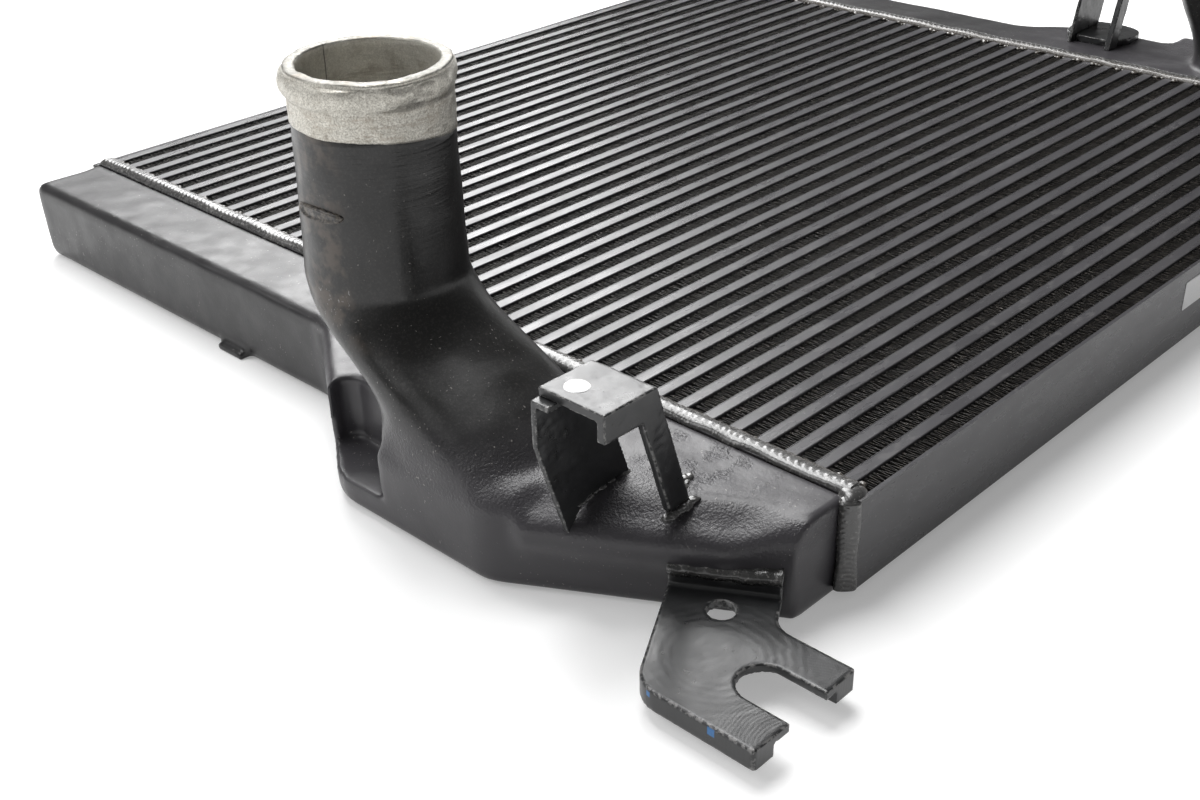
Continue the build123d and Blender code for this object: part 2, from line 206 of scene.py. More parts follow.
# ------------------------------------------------------------------ material tools
class Look:
    """A node material around one Principled shader, mapped in the part's own frame."""

    def __init__(self, name):
        self.material = bpy.data.materials.new(name)
        self.material.use_nodes = True
        self.tree = self.material.node_tree
        self.shader = self.tree.nodes["Principled BSDF"]
        self.place = self.tree.nodes.new("ShaderNodeTexCoord").outputs["Object"]
        split = self.add("SeparateXYZ", {"Vector": self.place})
        self.x, self.y, self.z = split.outputs
        self.heights = []

    def add(self, kind, inputs, **settings):
        node = self.tree.nodes.new("ShaderNode" + kind)
        for key, value in settings.items():
            setattr(node, key, value)
        for key, value in inputs.items():
            self.put(node.inputs[key], value)
        return node

    def put(self, socket, value):
        if isinstance(value, bpy.types.NodeSocket):
            self.tree.links.new(value, socket)
        else:
            socket.default_value = value

    def math(self, operation, *values):
        node = self.add("Math", dict(enumerate(values)), operation=operation)
        return node.outputs[0]

    def times(self, *values):
        result = values[0]
        for value in values[1:]:
            result = self.math("MULTIPLY", result, value)
        return result

    def ramp(self, value, low, high, to_low=0.0, to_high=1.0):
        inputs = {0: value, 1: low, 2: high, 3: to_low, 4: to_high}
        return self.add("MapRange", inputs, interpolation_type="SMOOTHSTEP").outputs[0]

    def near(self, value, middle, reach, soft):
        """1 within reach of the middle, falling to 0 over soft."""
        away = self.math("ABSOLUTE", self.math("SUBTRACT", value, middle))
        return self.ramp(away, reach, reach + soft, 1.0, 0.0)

    def stretched(self, scale):
        return self.add("Mapping", {"Vector": self.place, "Scale": scale}).outputs[0]

    def noise(self, size, detail=2.0, roughness=0.5, stretch=None):
        """Noise with lumps about this size, in metres."""
        vector = self.stretched(stretch) if stretch else self.place
        inputs = {"Vector": vector, "Scale": 1 / size, "Detail": detail, "Roughness": roughness}
        return self.add("TexNoise", inputs).outputs[0]

    def level_noise(self, *sizes, **settings):
        """Noise about zero, so that masking it leaves no step."""
        return self.math("SUBTRACT", self.noise(*sizes, **settings), 0.5)

    def distance(self, x, y):
        """Distance from an upright line."""
        away_x, away_y = self.math("SUBTRACT", self.x, x), self.math("SUBTRACT", self.y, y)
        return self.math("SQRT", self.math("ADD", self.times(away_x, away_x), self.times(away_y, away_y)))

    def mix(self, share, one, two):
        node = self.add("Mix", {0: share}, data_type="RGBA")
        self.put(node.inputs[6], one)
        self.put(node.inputs[7], two)
        return node.outputs[2]

    def bump(self, height, depth):
        """Adds relief: height 0 to 1, depth in metres."""
        self.heights.append(self.math("MULTIPLY", height, depth))

    def finish(self, colour, roughness, metallic=0.0, specular=0.5, coat=0.0, coat_roughness=0.2):
        values = {"Base Color": colour, "Roughness": roughness, "Metallic": metallic,
                  "Specular IOR Level": specular, "Coat Weight": coat, "Coat Roughness": coat_roughness}
        for key, value in values.items():
            self.put(self.shader.inputs[key], value)
        if self.heights:
            height = self.heights[0]
            for more in self.heights[1:]:
                height = self.math("ADD", height, more)
            bump = self.add("Bump", {"Height": height, "Distance": 1.0, "Strength": 1.0})
            self.tree.links.new(bump.outputs[0], self.shader.inputs["Normal"])
        return self.material


def grey(level, warmth=0.0):
    return (level * (1 + warmth), level, level * (1 - warmth), 1.0)


# ------------------------------------------------------------------ materials
def cast_paint():
    """Satin black paint on a casting: pebbled shoulders, dust, brown scuffs and scratches on the duct, with painted
    shade on the duct and barrel, on the rail's wall and beside the weld.
    """
    look = Look("cast_paint")
    side = look.math("ABSOLUTE", look.x)
    # painted shade: above z 0.042 to 0.075 m the duct and barrel take a far darker base colour (0.006 to 0.012) than
    # the same paint on the walls below (0.040 to 0.056)
    wall = look.ramp(look.z, 0.075, 0.042)
    broad = look.noise(0.060, 3.0)
    duct = look.mix(broad, grey(0.006), grey(0.012, 0.04))
    grain = look.ramp(look.noise(0.0013, 2.0, 0.7), 0.48, 0.66)
    duct = look.mix(look.times(grain, 0.6), duct, grey(0.032, 0.06))
    low = look.mix(broad, (0.040, 0.038, 0.042, 1.0), (0.056, 0.053, 0.059, 1.0))
    # painted shade: the rail's wall, from y -0.060 to 0.040 m, is darkened towards grey 0.008
    rail_painted_shade = look.times(look.ramp(look.y, -0.060, 0.040), 0.75)
    low = look.mix(rail_painted_shade, low, grey(0.008))
    colour = look.mix(wall, duct, low)
    # dust
    speck = look.ramp(look.noise(0.0014, 1.0), 0.70, 0.76)
    patch = look.ramp(look.noise(0.030, 2.0), 0.42, 0.62)
    colour = look.mix(look.times(speck, patch, 0.6), colour, grey(0.36, 0.06))
    # brown scuffs on the duct's outward side
    high = look.ramp(look.z, 0.080, 0.105)
    outward = look.ramp(side, 0.4015, 0.4055)
    blotch = look.ramp(look.noise(0.014, 3.0, 0.6), 0.44, 0.62)
    scuff = look.times(high, outward, blotch)
    colour = look.mix(look.times(scuff, 0.7), colour, (0.105, 0.084, 0.068, 1.0))
    scratch = look.ramp(look.noise(0.0018, 3.0, 0.7, stretch=(1.0, 1.0, 0.45)), 0.62, 0.68)
    scraped = look.near(look.z, 0.104, 0.007, 0.006)
    colour = look.mix(look.times(scuff, scratch, scraped, 0.8), colour, grey(0.5))
    # painted shade: a dark line beside the weld, along the crease; the mesh has no groove there
    groove = look.times(look.near(side, WELD_X + 0.0006, 0.0003, 0.0006), look.ramp(look.z, 0.0470, 0.0490))
    colour = look.mix(look.times(groove, 0.9), colour, grey(0.004))
    roughness = look.ramp(look.noise(0.012, 3.0), 0.3, 0.7, 0.30, 0.40)
    # pebbled skin on the belly's shoulders and round the hat's feet
    smooth_top = look.times(look.ramp(side, 0.362, 0.350), look.ramp(look.z, 0.0484, 0.0494))
    shoulder = look.times(look.ramp(look.z, 0.030, 0.042), look.ramp(look.y, -0.095, -0.120),
                          look.ramp(look.z, 0.066, 0.054), look.math("SUBTRACT", 1.0, smooth_top))
    look.bump(look.times(look.level_noise(0.0013, 2.0, 0.6), shoulder), 0.00040)
    look.bump(look.times(look.level_noise(0.0034, 2.0, 0.5), shoulder), 0.00018)
    # spatter near the hat's thick leg
    spatter = look.times(smooth_top, look.near(look.y, -0.238, 0.016, 0.022),
                         look.ramp(look.noise(0.012, 2.0), 0.46, 0.62))
    look.bump(look.times(look.level_noise(0.0024, 3.0, 0.7), spatter), 0.00090)
    look.bump(look.times(look.level_noise(0.009, 2.0, stretch=(1.0, 0.4, 1.0)), smooth_top), 0.00018)
    look.bump(look.noise(0.0014, 3.0, 0.6), 0.00006)
    look.bump(look.noise(0.006, 2.0), 0.00007)
    # level striations round the barrel
    barrel = look.ramp(look.z, 0.120, 0.160)
    look.bump(look.times(look.noise(0.0016, 3.0, stretch=(0.08, 0.08, 1.0)), barrel), 0.00018)
    return look.finish(colour, roughness, specular=0.42)


def bar_paint():
    """Smooth paint on the flat bars, with faint runs and rubbed edges."""
    look = Look("bar_paint")
    streaks = look.noise(0.040, 3.0, stretch=(0.25, 1.0, 1.0))
    colour = look.mix(streaks, (0.038, 0.037, 0.040, 1.0), (0.054, 0.052, 0.057, 1.0))
    speck = look.ramp(look.noise(0.0013, 1.0), 0.70, 0.76)
    colour = look.mix(look.times(speck, 0.25), colour, grey(0.3))
    worn = look.times(look.ramp(look.noise(0.009, 4.0, 0.65, stretch=(0.5, 1.0, 1.0)), 0.58, 0.66),
                      look.ramp(look.z, FRONT - 0.0009, FRONT - 0.0004))
    colour = look.mix(look.times(worn, 0.16), colour, grey(0.20, 0.03))
    roughness = look.ramp(look.noise(0.010, 3.0, stretch=(0.3, 1.0, 1.0)), 0.3, 0.7, 0.24, 0.36)
    look.bump(look.noise(0.0012, 2.0), 0.000025)
    look.bump(look.noise(0.020, 2.0, stretch=(0.2, 1.0, 1.0)), 0.00012)
    return look.finish(colour, roughness, specular=0.45)


def fin_paint():
    """Brown-black folded sheet with paler rubbed tips, bits of dust, and a painted highlight along the crests."""
    look = Look("fin_paint")
    facing = look.add("SeparateXYZ", {"Vector": look.add("NewGeometry", {}).outputs["Normal"]}).outputs[2]
    tip = look.ramp(look.math("ABSOLUTE", facing), 0.5, 0.9)
    across = look.math("FRACT", look.math("DIVIDE", look.math("ADD", look.y, HALF_Y - SIDE_PLATE), PITCH))
    away = look.math("ABSOLUTE", look.math("SUBTRACT", look.times(across, PITCH), FIN_HEIGHT / 2))
    # painted highlight: a paler grey along the fins' crests beside the bars, near their top
    crest = look.times(look.ramp(away, 0.0030, 0.0041), look.ramp(look.z, 0.0440, 0.0485))
    row = look.noise(0.022, 1.0, stretch=(0.08, 1.0, 0.1))
    colour = look.mix(row, (0.005, 0.0045, 0.004, 1.0), (0.018, 0.016, 0.014, 1.0))
    fleck = look.ramp(look.noise(0.0016, 2.0, 0.6), 0.46, 0.70)
    colour = look.mix(look.times(tip, fleck, 0.8), colour, (0.17, 0.15, 0.13, 1.0))
    colour = look.mix(look.times(crest, 0.35), colour, (0.12, 0.115, 0.11, 1.0))
    roughness = look.ramp(look.noise(0.004), 0.3, 0.7, 0.42, 0.60)
    look.bump(look.noise(0.0010, 2.0), 0.00004)
    return look.finish(colour, roughness, specular=0.4)


def bare_casting():
    """Bare cast aluminium with fine grain, wavy level tool marks and a little grime, with painted light inside the
    near bore and painted shade on the rim's top.
    """
    look = Look("bare_casting")
    grain = look.noise(0.0008, 3.0, 0.75)
    colour = look.mix(look.ramp(grain, 0.3, 0.7), (0.30, 0.285, 0.25, 1.0), (0.66, 0.64, 0.58, 1.0))
    # painted light: the near neck's bore is lightened, standing in for light falling inside it
    inner = look.ramp(look.distance(*NECKS["near"]), BORE_RADIUS + 0.0008, BORE_RADIUS)
    colour = look.mix(look.times(inner, 0.5), colour, (0.80, 0.78, 0.71, 1.0))
    # painted shade: the top of the rim is darkened, standing in for less light falling on it
    rim = look.ramp(look.z, NECK_TOP - 0.0012, NECK_TOP - 0.0004)
    colour = look.mix(look.times(rim, 0.9), colour, (0.15, 0.145, 0.13, 1.0))
    grime = look.ramp(look.noise(0.010, 4.0, 0.6), 0.50, 0.70)
    colour = look.mix(look.times(grime, 0.40), colour, (0.26, 0.22, 0.17, 1.0))
    streak = look.ramp(look.noise(0.0016, 3.0, 0.6, stretch=(0.10, 0.10, 1.0)), 0.52, 0.62)
    colour = look.mix(look.times(streak, look.ramp(look.z, 0.1960, 0.1930), 0.35), colour, (0.30, 0.25, 0.20, 1.0))
    # parting line down the bore
    seam = look.times(look.near(look.x, -0.3690, 0.0001, 0.0004), look.ramp(look.y, -0.0420, -0.0405))
    colour = look.mix(look.times(seam, 0.7), colour, (0.05, 0.045, 0.04, 1.0))
    roughness = look.ramp(look.noise(0.003, 3.0), 0.3, 0.7, 0.38, 0.54)
    look.bump(grain, 0.00020)
    look.bump(look.noise(0.0013, 2.0, stretch=(0.08, 0.08, 1.0)), 0.00018)
    look.bump(look.noise(0.005, 2.0), 0.00040)
    return look.finish(colour, roughness, metallic=0.70, specular=0.5)


def weld_paint():
    """Glossy paint over a rippled weld, spotted with bare metal, browner towards the fins."""
    look = Look("weld_paint")
    inward = look.times(look.ramp(look.math("ABSOLUTE", look.x), WELD_X - 0.0070, WELD_X - 0.0105),
                        look.ramp(look.z, 0.0470, 0.0485))
    spot = look.ramp(look.noise(0.0018, 3.0, 0.6), 0.55, 0.70)
    colour = look.mix(look.noise(0.015, 2.0), grey(0.030), grey(0.075, 0.03))
    colour = look.mix(look.times(inward, 0.7), colour, (0.085, 0.072, 0.058, 1.0))
    colour = look.mix(look.times(spot, 0.6), colour, grey(0.35, 0.03))
    roughness = look.ramp(look.noise(0.004, 2.0), 0.3, 0.7, 0.18, 0.34)
    look.bump(look.noise(0.0012, 3.0), 0.00006)
    look.bump(look.times(look.noise(0.0035, 3.0, 0.6), inward), 0.00050)
    return look.finish(colour, roughness, specular=0.6, coat=0.3, coat_roughness=0.15)


def bracket_paint():
    """Paint on steel plate, rubbed to metal along its edges, with swirls and small pits."""
    look = Look("bracket_paint")
    edge = look.add("NewGeometry", {}).outputs["Pointiness"]
    worn = look.times(look.ramp(edge, 0.512, 0.550), look.ramp(look.noise(0.0026, 3.0, 0.65), 0.47, 0.57))
    colour = look.mix(look.noise(0.020, 4.0, 0.6), grey(0.012), (0.026, 0.027, 0.029, 1.0))
    colour = look.mix(look.times(worn, 0.55), colour, grey(0.38, 0.02))
    pit = look.ramp(look.noise(0.0024, 2.0), 0.70, 0.76)
    colour = look.mix(look.times(pit, 0.8), colour, grey(0.008))
    # two blue dabs on the fork's rim, dark specks on the hat
    for x, y, reach in BLUE_DABS:
        dab = look.times(look.ramp(look.distance(x, y), reach + 0.0003, reach),
                         look.near(look.z, 0.0140, reach, 0.0005))
        colour = look.mix(dab, colour, (0.02, 0.16, 0.42, 1.0))
    for x, y in HAT_SPECKS:
        speck = look.times(look.ramp(look.distance(x, y), 0.0010, 0.0006), look.ramp(look.z, 0.108, 0.110))
        colour = look.mix(speck, colour, grey(0.003))
    # the wall of the fork's hole is bare
    hole = look.ramp(look.distance(*FORK_HOLE), 0.0066, 0.0062)
    colour = look.mix(look.times(hole, look.ramp(look.noise(0.0030, 2.0), 0.40, 0.60), 0.8), colour, grey(0.30))
    roughness = look.ramp(look.noise(0.010, 4.0, 0.6), 0.3, 0.7, 0.27, 0.36)
    look.bump(look.math("SUBTRACT", 1.0, pit), 0.00006)
    # wiping marks: fine rings on the long prong, wider arcs round the hole
    turn = look.times(look.distance(*FORK_RING_CENTRE), 2 * math.pi / 0.0017)
    fine_rings = look.math("SINE", look.math("ADD", turn, look.times(look.noise(0.008, 1.0), 7.0)))
    look.bump(look.times(fine_rings, look.ramp(look.y, -0.318, -0.330)), 0.000006)
    turn = look.times(look.distance(*FORK_ARC_CENTRE), 2 * math.pi / 0.0042)
    arcs = look.math("SINE", look.math("ADD", turn, look.times(look.noise(0.012, 2.0), 9.0)))
    look.bump(look.times(arcs, look.near(look.distance(*FORK_ARC_CENTRE), 0.027, 0.008, 0.006)), 0.000012)
    look.bump(look.noise(0.010, 3.0, 0.5), 0.00003)
    look.bump(look.noise(0.0010, 2.0), 0.00002)
    return look.finish(colour, roughness, specular=0.5)


def rubbed_paint():
    """Paint rubbed thin over the casting, grey-brown and uneven."""
    look = Look("rubbed_paint")
    rub = look.ramp(look.noise(0.0026, 3.0, 0.65), 0.40, 0.62)
    colour = look.mix(rub, grey(0.022, 0.05), (0.150, 0.132, 0.112, 1.0))
    roughness = look.ramp(look.noise(0.004, 3.0), 0.3, 0.7, 0.34, 0.50)
    look.bump(look.noise(0.0014, 3.0, 0.6), 0.00012)
    return look.finish(colour, roughness, specular=0.5)


def sheet_metal():
    """Bare aluminium sheet inside the passages."""
    look = Look("turbulator_sheet")
    colour = look.mix(look.noise(0.006, 3.0), grey(0.45), grey(0.62, 0.02))
    roughness = look.ramp(look.noise(0.003), 0.3, 0.7, 0.35, 0.5)
    look.bump(look.noise(0.0015), 0.00003)
    return look.finish(colour, roughness, metallic=0.9)


def blank_white(name, level):
    """White paint or paper with faint mottling."""
    look = Look(name)
    colour = look.mix(look.noise(0.0012, 3.0), grey(level * 0.93), grey(level))
    roughness = look.ramp(look.noise(0.002), 0.3, 0.7, 0.40, 0.55)
    look.bump(look.noise(0.0008, 2.0), 0.00002)
    return look.finish(colour, roughness)


CAST = cast_paint()
BAR = bar_paint()
FIN = fin_paint()
BARE = bare_casting()
WELD = weld_paint()
BRACKET = bracket_paint()


# ------------------------------------------------------------------ tanks
def paint_line(angle):
    """Height where the neck's paint ends, round its axis."""
    return 0.1800 + 0.0038 * np.cos(angle - 3.0) + 0.0004 * np.sin(3 * angle + 0.6) + 0.0002 * np.sin(7 * angle)


def shoulder(points):
    """Moves for the tank's points: its top falls, and its wall bulges, in a broad shoulder along the slanted wall."""
    x, y, z = points.T
    foot_x, foot_y = DUCT_FEET["near"]
    away = np.maximum(np.abs(np.abs(x) - abs(foot_x)), np.abs(y - foot_y))
    reach = np.abs(x) - WELD_X
    place = y + HALF_Y
    inside = (place - WALL_START[0]) * math.sin(SLANT) - (reach - WALL_START[1]) * math.cos(SLANT)
    off_duct = smoothstep(away, 0.046, 0.056) * smoothstep(place, 0.150, 0.120)
    fall = SHOULDER_FALL * smoothstep(inside, 0.022, 0.005) * smoothstep(z, 0.020, 0.042)
    bulge = SHOULDER_BULGE * smoothstep(inside, 0.009, 0.002) * smoothstep(z, 0.014, 0.034)
    share = off_duct * smoothstep(place, 0.010, 0.036)
    moves = np.stack([np.sign(x) * bulge * math.cos(SLANT), -bulge * math.sin(SLANT), -fall], 1)
    return moves * share[:, None]


def tank(side):
    """The cast tank with its shoulder, its uneven skin, and a slim wall under the bare neck."""
    name = side + "_tank"
    mesh = remeshed(name + "_casting", [name], 0.0021)
    points = coords(mesh)
    axis_x, axis_y = NECKS[side]
    points = relax(mesh, points, 1.0, 3)
    # the duct runs into the belly with a soft blend
    foot_x, foot_y = DUCT_FEET[side]
    away = np.maximum(np.abs(points[:, 0] - foot_x), np.abs(points[:, 1] - foot_y))
    blend = smoothstep(away, 0.066, 0.050)
    blend = blend * smoothstep(points[:, 2], 0.038, 0.046) * smoothstep(points[:, 2], 0.080, 0.064)
    blend *= smoothstep(np.abs(points[:, 0]), WELD_X + 0.003, WELD_X + 0.012)
    points = relax(mesh, points, blend, 14, regain=0)
    points = points + shoulder(points)
    # uneven cast skin
    skin = waves(points, 0.060, 11) * 0.00035 + waves(points, 0.022, 12) * 0.00012
    free = smoothstep(np.abs(points[:, 0]), WELD_X + 0.004, WELD_X + 0.012) * smoothstep(points[:, 2], 0.001, 0.012)
    set_coords(mesh, points)
    points = points + normals(mesh) * (skin * free)[:, None]
    # the painted wall slims down where the bare neck covers it
    across = points[:, :2] - (axis_x, axis_y)
    radius = np.hypot(*across.T)
    angle = np.arctan2(across[:, 1], across[:, 0])
    middle = (NECK_RADIUS + BORE_RADIUS) / 2
    over = np.where(radius > middle, points[:, 2] - paint_line(angle), points[:, 2] - 0.162)
    slim = smoothstep(over, 0.0002, 0.0012) * (radius < 0.045) * (points[:, 2] > 0.150)
    target = middle + np.clip(radius - middle, -0.0012, 0.0012)
    scale = 1 + slim * (target / np.maximum(radius, 1e-6) - 1)
    points[:, :2] = (axis_x, axis_y) + across * scale[:, None]
    points[:, 2] = np.where(slim > 0, np.minimum(points[:, 2], 0.2065), points[:, 2])
    points = np.clip(points, *cad_box)
    set_coords(mesh, points)
    return make_piece(name + "_casting", mesh, CAST, [name])


def bare_neck(side):
    """Top of the neck that the paint leaves bare: rim, rolled bead, and the wavy edge of the paint."""
    axis_x, axis_y = NECKS[side]
    count = 240
    seat_base, bead_low, bead_high = 0.1663, 0.1963, 0.2063
    seed = 3 if side == "near" else 7
    angle = np.arange(count) * 2 * math.pi / count
    ring_at = np.stack([np.cos(angle), np.sin(angle), np.zeros(count)], 1)
    lumps = waves(ring_at, 0.55, seed)
    rows = []
    edge = paint_line(angle)
    rows.append((edge + 0.0004, np.full(count, 0.0354)))
    rows.append((edge + 0.0001, np.full(count, 0.0366)))
    for share in np.linspace(0, 1, 16):
        level = edge + (bead_low - 0.001 - edge) * share
        taper = np.clip((seat_base - level) / (seat_base - 0.108), 0, 1) * 0.0012
        rows.append((level, NECK_RADIUS + 0.00022 + taper))
    for share in np.linspace(0, 1, 15)[1:]:
        level = bead_low - 0.001 + (bead_high + 0.0002 - bead_low + 0.001) * share
        swell = math.sin(math.pi * share) ** 0.6
        from_flat = (angle + 1.55 + math.pi) % (2 * math.pi) - math.pi
        flat = 0.0012 * np.exp(-(from_flat / 0.17) ** 4) * math.exp(-((share - 0.55) / 0.26) ** 4)
        drift = 0.0007 * lumps * swell
        base = NECK_RADIUS + 0.0002 + 0.0006 * share
        rows.append((np.full(count, level) + 0.0011 * waves(ring_at, 0.9, seed + 1) * swell,
                     base + (0.0020 + 0.0003 * np.cos(angle - 2.6)) * swell + drift - flat))
    for height, reach in ((0.2069, 0.0378), (0.2078, 0.0379), (0.2084, 0.0376), (0.2087, 0.0370), (0.2088, 0.0360),
                          (0.2088, 0.0335), (0.2087, 0.0328), (0.2084, 0.0323), (0.2078, 0.0321)):
        wobble = waves(ring_at, 0.7, seed + 2)
        rows.append((np.full(count, height) - 0.00025 * (1 + wobble) * (height > 0.2075), reach + 0.0002 * wobble))
    for height in np.linspace(0.205, 0.160, 10):
        rows.append((np.full(count, height), np.full(count, BORE_RADIUS - 0.00015)))
    rows.append((np.full(count, 0.1598), np.full(count, 0.0335)))
    rings, points = [], []
    for level, reach in rows:
        rings.append(list(range(len(points), len(points) + count)))
        reach = np.broadcast_to(reach, (count,))
        points.extend(zip(axis_x + reach * np.cos(angle), axis_y + reach * np.sin(angle), level))
    rings.append(rings[0])
    mesh = mesh_from(side + "_neck_top", points, tube_rings(rings, closed_ends=False))
    points = coords(mesh)
    rough = waves(points, 0.004, seed + 4) * 0.00009 + waves(points, 0.011, seed + 5) * 0.00016
    points = points + normals(mesh) * rough[:, None]
    points[:, 2] = np.minimum(points[:, 2], NECK_TOP)
    set_coords(mesh, points)
    return make_piece(side + "_neck_top", mesh, BARE)


# ------------------------------------------------------------------ core
def rounded_section(width, low, high, radius, steps):
    """Closed outline in Y and Z with rounded corners."""
    outline = []
    corners = ((width / 2 - radius, high - radius, 0), (-width / 2 + radius, high - radius, 90),
               (-width / 2 + radius, low + radius, 180), (width / 2 - radius, low + radius, 270))
    for centre_y, centre_z, start in corners:
        for step in range(steps + 1):
            turn = math.radians(start + 90 * step / steps)
            outline.append((centre_y + radius * math.cos(turn), centre_z + radius * math.sin(turn)))
    return outline


def passages():
    """Flat bars between their parting sheets, with a fine groove along each joint, hollow inside."""
    half = PASSAGE_WIDTH / 2
    top = [(half, FRONT - 0.0005), (half - 0.0002, FRONT - 0.0001), (half - 0.00055, FRONT - 0.0001),
           (half - 0.00065, FRONT - 0.0006), (half - 0.0008, FRONT - 0.0001), (half - 0.0010, FRONT),
           (-half + 0.0005, FRONT), (-half + 0.00015, FRONT - 0.00015), (-half, FRONT - 0.0005)]
    outer = top + [(y, CORE_BACK + FRONT - z) for y, z in reversed(top)]
    middle_z = (CORE_BACK + FRONT) / 2
    share_y = 1 - 0.0012 / PASSAGE_WIDTH
    share_z = 1 - 0.016 / (FRONT - CORE_BACK)
    inner = [(y * share_y, middle_z + (z - middle_z) * share_z) for y, z in outer]
    stations = np.linspace(-WELD_X, WELD_X, 31)
    points, faces = [], []
    rng = np.random.default_rng(5)
    for row in range(ROWS):
        middle = -HALF_Y + SIDE_PLATE + FIN_HEIGHT + PASSAGE_WIDTH / 2 + row * PITCH
        dip = rng.uniform(0.0, 0.00025)
        rings = []
        for x in stations:
            rings.append(list(range(len(points), len(points) + len(outer))))
            points.extend((x, middle + y, z if z < 0.02 else z - dip) for y, z in outer)
        hollow = []
        for x in (stations[0], stations[-1]):
            hollow.append(list(range(len(points), len(points) + len(inner))))
            points.extend((x, middle + y, z) for y, z in inner)
        faces += tube_rings(rings, closed_ends=False)
        faces += [tuple(reversed(face)) for face in tube_rings(hollow, closed_ends=False)]
        faces += tube_rings([hollow[0], rings[0]], closed_ends=False)
        faces += tube_rings([rings[-1], hollow[1]], closed_ends=False)
    mesh = mesh_from("charge_bars", points, faces, smooth=False)
    names = [f"charge_passage_{row + 1:02d}" for row in range(ROWS)]
    return make_piece("charge_bars", mesh, BAR, names)


def fin_path(length, leg_spacing, crest, swing, rng):
    """Folded strip seen from the front: leaning legs between flat crests."""
    legs = int(length / leg_spacing)
    starts = -length / 2 + np.arange(legs) * leg_spacing + rng.normal(0, 0.00010, legs)
    side = np.where(np.arange(legs) % 2, -swing, swing)
    path = np.empty((2 * legs, 2))
    path[0::2] = np.stack([starts, side], 1)
    path[1::2] = np.stack([starts + crest, side], 1)
    return path


def fins(number, first_row, last_row):
    """Folded air fins at their real spacing, as thin closed strips."""
    points, faces = [], []
    rng = np.random.default_rng(9 + number)
    for row in range(first_row, last_row):
        middle = -HALF_Y + SIDE_PLATE + FIN_HEIGHT / 2 + row * PITCH
        path = fin_path(2 * (WELD_X - 0.0082), LEG_SPACING, FIN_CREST, FIN_HEIGHT / 2 - FIN_SHEET, rng)
        step = np.diff(path, axis=0)
        step /= np.linalg.norm(step, axis=1)[:, None]
        normal = np.stack([-step[:, 1], step[:, 0]], 1)
        before = np.vstack([normal[:1], normal])
        after = np.vstack([normal, normal[-1:]])
        aside = (before + after) / (1 + (before * after).sum(1))[:, None] * FIN_SHEET / 2
        top = FIN_TIPS - np.abs(rng.normal(0, 0.00030, len(path)))
        base = CORE_BACK + 0.0012
        rings = []
        for (px, py), (ax, ay), high in zip(path, aside, top):
            rings.append([len(points) + k for k in range(4)])
            points += [(px - ax, middle + py - ay, base), (px + ax, middle + py + ay, base),
                       (px + ax, middle + py + ay, high), (px - ax, middle + py - ay, high)]
        faces += tube_rings(rings)
    name = f"fine_air_fins_{number}"
    mesh = mesh_from(name, points, faces, smooth=False)
    return make_piece(name, mesh, FIN, ["air_fins"])


# ------------------------------------------------------------------ welds
def rippled(length, width, height, seed, period=0.0026, across=12, crescent=0.6, floor=-0.0015, depth=0.28):
    """Weld bead along +Y on z = 0: arched ripples, closed below."""
    step = 0.0005
    count = max(8, int(length / step))
    along = np.linspace(0, length, count + 1)
    share = np.linspace(-1, 1, across + 1)
    grid_a, grid_s = np.meshgrid(along, share, indexing="ij")
    flat = np.stack([grid_a.ravel(), np.zeros(grid_a.size), np.full(grid_a.size, seed * 0.37)], 1)
    drift = waves(flat, 0.030, seed).reshape(grid_a.shape)
    phase = (grid_a + crescent * width / 2 * (grid_s ** 2 - 0.5)) / period + 0.5 * drift
    ripple = (phase % 1.0) ** 1.6
    fuller = 1 + 0.18 * waves(flat, 0.045, seed + 1).reshape(grid_a.shape)
    arch = np.sqrt(np.clip(1 - grid_s ** 2, 0, 1))
    level = height * arch * (1 - depth + depth * ripple) * fuller
    swell = 1 + 0.10 * waves(flat, 0.018, seed + 2).reshape(grid_a.shape) + 0.05 * ripple
    offset = grid_s * width / 2 * swell
    points = [(o, a, min(l, height * 1.0)) for o, a, l in zip(offset.ravel(), grid_a.ravel(), level.ravel())]
    row = across + 1
    faces = []
    for i in range(count):
        for j in range(across):
            faces.append((i * row + j, i * row + j + 1, (i + 1) * row + j + 1, (i + 1) * row + j))
    base = len(points)
    for i in range(count + 1):
        points.append((offset[i, 0], along[i], floor))
        points.append((offset[i, -1], along[i], floor))
    for i in range(count):
        low, high = base + 2 * i, base + 2 * i + 1
        faces.append((low, i * row, (i + 1) * row, low + 2))
        faces.append((high, high + 2, (i + 1) * row + across, i * row + across))
        faces.append((low, low + 2, high + 2, high))
    faces.append(tuple([base] + [base + 1] + [j for j in range(across, -1, -1)]))
    last = count * row
    faces.append(tuple([base + 2 * count + 1, base + 2 * count] + [last + j for j in range(across + 1)]))
    return np.array(points), faces


def placed(points, origin, across, along, up):
    """Turns points from a bead's own axes to these, and moves them to the origin given."""
    return np.asarray(origin) + points @ np.array([across, along, up], float)


def lump(centre, size, seed, count=14):
    """Small uneven blob of weld metal."""
    rings, points = [], []
    for ring in range(count + 1):
        polar = math.pi * (0.02 + 0.96 * ring / count)
        rings.append(list(range(len(points), len(points) + count)))
        for i in range(count):
            turn = 2 * math.pi * i / count
            points.append((math.sin(polar) * math.cos(turn), math.sin(polar) * math.sin(turn), math.cos(polar)))
    points = np.array(points)
    points *= (1 + 0.16 * waves(points, 1.6, seed))[:, None]
    return np.asarray(centre) + points * np.asarray(size), tube_rings(rings)


